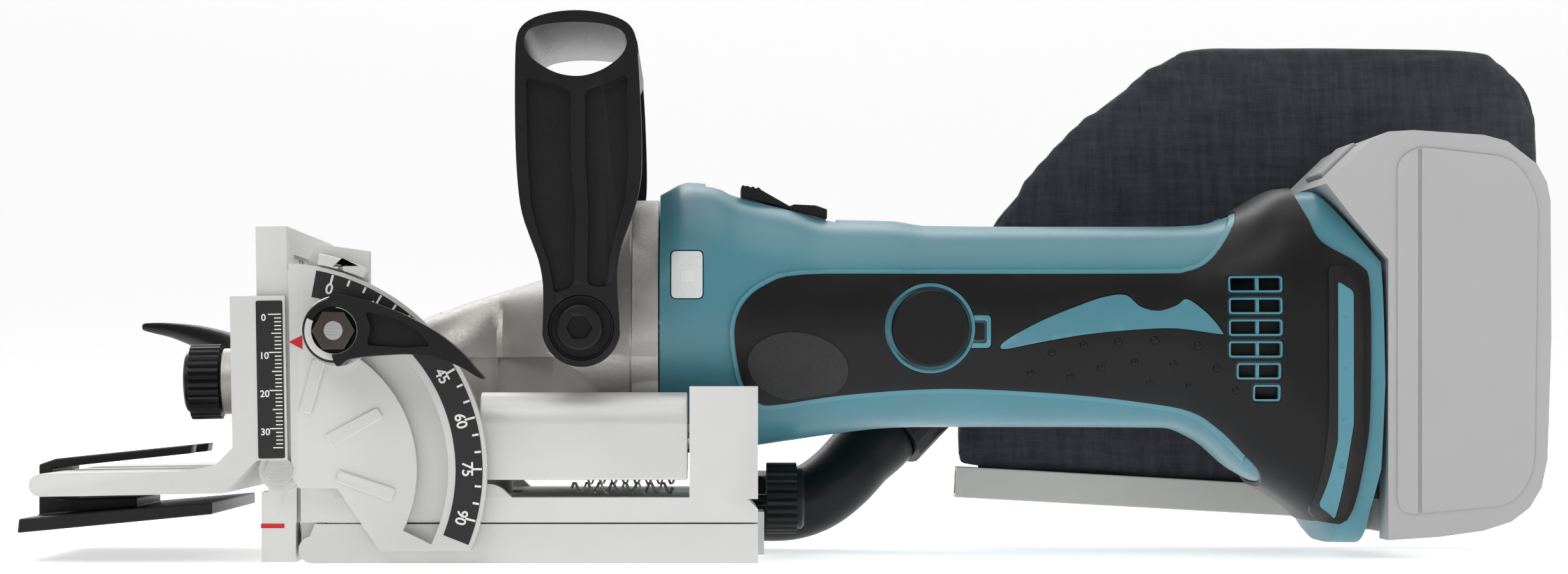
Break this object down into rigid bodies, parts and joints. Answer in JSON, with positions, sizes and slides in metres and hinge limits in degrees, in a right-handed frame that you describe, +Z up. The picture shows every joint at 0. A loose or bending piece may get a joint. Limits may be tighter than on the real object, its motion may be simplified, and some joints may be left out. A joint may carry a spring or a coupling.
{
  "type": "biscuit joiner",
  "caption": "Cordless plate joiner: a plunging slot cutter on a base with a tilting guide, height fence, U-shaped front handle, dust bag and slide-on battery.",
  "frame": {"origin": "middle of the base's sole, the underside of the swing-down cover", "axes": "+X toward the battery along the plunge, -X the front face that meets the work; +Y the side away from the angle scale; +Z up"},
  "size_m": [0.4316, 0.1494, 0.148],
  "materials": {
    "base_frame": "satin, bead blasted",
    "slide_rod_left": "bright",
    "slide_rod_right": "bright",
    "guide_pin_left": "bright",
    "guide_pin_right": "bright",
    "return_spring_left": "drawn wire",
    "return_spring_right": "drawn wire",
    "pointer_bracket": "satin, bead blasted",
    "lock_bolt": "bright",
    "dust_elbow": "moulded",
    "blade_cover": "satin, bead blasted",
    "cover_knob": "moulded",
    "angle_guide": "satin, bead blasted",
    "rack": "bright",
    "fence": "satin, bead blasted",
    "pinion_shaft": "bright",
    "fence_knob": "moulded",
    "fence_lever": "moulded",
    "set_plate": "moulded",
    "angle_lever": "moulded",
    "lever_washer": "bright",
    "lever_nut": "blackened",
    "gear_housing": "as cast, fine grain",
    "motor_housing_left": "satin moulded nylon",
    "motor_housing_right": "satin moulded nylon",
    "grip_left": "fine grained",
    "grip_right": "fine grained",
    "stator": "laminated",
    "carbon_brush_left": "pressed carbon",
    "carbon_brush_right": "pressed carbon",
    "brush_cap_left": "moulded",
    "brush_cap_right": "moulded",
    "armature_bearing_front": "bright",
    "spindle_bearing_lower": "bright",
    "bearing_seat": "moulded",
    "switch_unit": "moulded",
    "battery_terminal": "moulded",
    "lamp_lens": "frosted",
    "stop_screw": "bright",
    "spindle": "bright",
    "bevel_gear": "bright",
    "blade_flange": "bright",
    "blade_nut": "blackened",
    "blade": "bright",
    "armature_shaft": "bright",
    "drive_pinion": "bright",
    "armature_core": "laminated",
    "commutator": "copper bars",
    "fan": "moulded",
    "front_handle": "moulded",
    "handle_screw_left": "bright",
    "handle_screw_right": "bright",
    "slide_switch": "moulded",
    "shaft_lock_button": "moulded",
    "battery": "moulded",
    "battery_button": "moulded",
    "dust_bag": "woven",
    "bag_neck": "moulded",
    "bag_fastener": "extruded",
    "depth_dial": "moulded"
  },
  "bodies": {
    "base": {"base_frame": "base_frame", "slide_rod_left": "slide_rod_left", "slide_rod_right": "slide_rod_right", "guide_pin_left": "guide_pin_left", "guide_pin_right": "guide_pin_right", "return_spring_left": "return_spring_left", "return_spring_right": "return_spring_right", "pointer_bracket": "pointer_bracket", "lock_bolt": "lock_bolt", "dust_elbow": "dust_elbow"},
    "cover": {"blade_cover": "blade_cover"},
    "cover_screw": {"cover_knob": "cover_knob"},
    "guide": {"angle_guide": "angle_guide", "rack": "rack"},
    "fence_slider": {"fence": "fence"},
    "height_knob": {"pinion_shaft": "pinion_shaft", "fence_knob": "fence_knob"},
    "height_lock": {"fence_lever": "fence_lever"},
    "thin_stock_clip": {"set_plate": "set_plate"},
    "angle_lock": {"angle_lever": "angle_lever", "lever_washer": "lever_washer", "lever_nut": "lever_nut"},
    "carriage": {"gear_housing": "gear_housing", "motor_housing_left": "motor_housing_left", "motor_housing_right": "motor_housing_right", "grip_left": "grip_left", "grip_right": "grip_right", "stator": "stator", "carbon_brush_left": "carbon_brush_left", "carbon_brush_right": "carbon_brush_right", "brush_cap_left": "brush_cap_left", "brush_cap_right": "brush_cap_right", "armature_bearing_front": "armature_bearing_front", "spindle_bearing_lower": "spindle_bearing_lower", "bearing_seat": "bearing_seat", "switch_unit": "switch_unit", "battery_terminal": "battery_terminal", "lamp_lens": "lamp_lens", "stop_screw": "stop_screw"},
    "spindle_group": {"spindle": "spindle", "bevel_gear": "bevel_gear", "blade_flange": "blade_flange", "blade_nut": "blade_nut", "blade": "blade"},
    "rotor": {"armature_shaft": "armature_shaft", "drive_pinion": "drive_pinion", "armature_core": "armature_core", "commutator": "commutator", "fan": "fan"},
    "handle": {"front_handle": "front_handle", "handle_screw_left": "handle_screw_left", "handle_screw_right": "handle_screw_right"},
    "switch": {"slide_switch": "slide_switch"},
    "lock_button": {"shaft_lock_button": "shaft_lock_button"},
    "pack": {"battery": "battery"},
    "pack_button": {"battery_button": "battery_button"},
    "bag": {"dust_bag": "dust_bag", "bag_neck": "bag_neck"},
    "fastener": {"bag_fastener": "bag_fastener"},
    "dial": {"depth_dial": "depth_dial"}
  },
  "joints": [
    {"name": "cover_swing", "type": "hinge", "parent": "base", "child": "cover", "pos_m": [-0.0522, 0, 0.0036], "axis": [0, 1, 0], "range_deg": [0, 70]},
    {"name": "cover_screw_turn", "type": "hinge", "parent": "base", "child": "cover_screw", "pos_m": [0.07, 0, 0.015], "axis": [1, 0, 0], "continuous": true},
    {"name": "guide_tilt", "type": "hinge", "parent": "base", "child": "guide", "pos_m": [-0.0602, 0, 0.0247], "axis": [0, -1, 0], "range_deg": [-1, 44]},
    {"name": "fence_height", "type": "slide", "parent": "guide", "child": "fence_slider", "axis": [-0.0175, 0, 0.9998], "range_m": [-0.0075, 0.0215]},
    {"name": "height_knob_turn", "type": "hinge", "parent": "fence_slider", "child": "height_knob", "pos_m": [-0.07441, 0, 0.04836], "axis": [0.9998, 0, 0.0175], "range_deg": [-320, 120]},
    {"name": "height_lock_turn", "type": "hinge", "parent": "fence_slider", "child": "height_lock", "pos_m": [-0.0795, 0.021, 0.05317], "axis": [0.9998, 0, 0.0175], "range_deg": [-20, 50]},
    {"name": "clip_pull", "type": "slide", "parent": "fence_slider", "child": "thin_stock_clip", "axis": [-0.9998, 0, -0.0175], "range_m": [0, 0.06]},
    {"name": "angle_lock_turn", "type": "hinge", "parent": "base", "child": "angle_lock", "pos_m": [-0.0447, -0.07, 0.0612], "axis": [0, -1, 0], "range_deg": [-15, 75]},
    {"name": "plunge", "type": "slide", "parent": "base", "child": "carriage", "axis": [-1, 0, 0], "range_m": [0, 0.021], "stiffness_N_per_m": 300, "springref_m": -0.02},
    {"name": "spindle_spin", "type": "hinge", "parent": "carriage", "child": "spindle_group", "pos_m": [-0.0146, 0, 0.01], "axis": [0, 0, 1], "continuous": true},
    {"name": "motor_spin", "type": "hinge", "parent": "carriage", "child": "rotor", "pos_m": [0.06, 0, 0.0625], "axis": [1, 0, 0], "continuous": true},
    {"name": "handle_tilt", "type": "hinge", "parent": "carriage", "child": "handle", "pos_m": [0.0188, 0, 0.0623], "axis": [0, 1, 0], "range_deg": [-35, 15]},
    {"name": "switch_slide", "type": "slide", "parent": "carriage", "child": "switch", "axis": [-0.967, 0, 0.2548], "range_m": [0, 0.006]},
    {"name": "lock_press", "type": "slide", "parent": "carriage", "child": "lock_button", "axis": [0, 0, -1], "range_m": [0, 0.003], "stiffness_N_per_m": 600, "springref_m": -0.002},
    {"name": "battery_lift", "type": "slide", "parent": "carriage", "child": "pack", "axis": [0, 0, 1], "range_m": [0, 0.12]},
    {"name": "battery_release", "type": "slide", "parent": "pack", "child": "pack_button", "axis": [0.682, 0, -0.7314], "range_m": [0, 0.0022], "stiffness_N_per_m": 600, "springref_m": -0.002},
    {"name": "bag_pull", "type": "slide", "parent": "base", "child": "bag", "axis": [0.66, 0.34, 0.67], "range_m": [0, 0.04]},
    {"name": "fastener_pull", "type": "slide", "parent": "bag", "child": "fastener", "axis": [0.9985, 0, -0.0555], "range_m": [0, 0.16]},
    {"name": "depth_select", "type": "hinge", "parent": "base", "child": "dial", "pos_m": [-0.048, 0.044, 0.049], "axis": [1, 0, 0], "range_deg": [-300, 0]}
  ],
  "couplings": [
    {"joint": "motor_spin", "follows": "spindle_spin", "ratio": 3.7},
    {"joint": "height_knob_turn", "follows": "fence_height", "rad_per_m": -250}
  ]
}
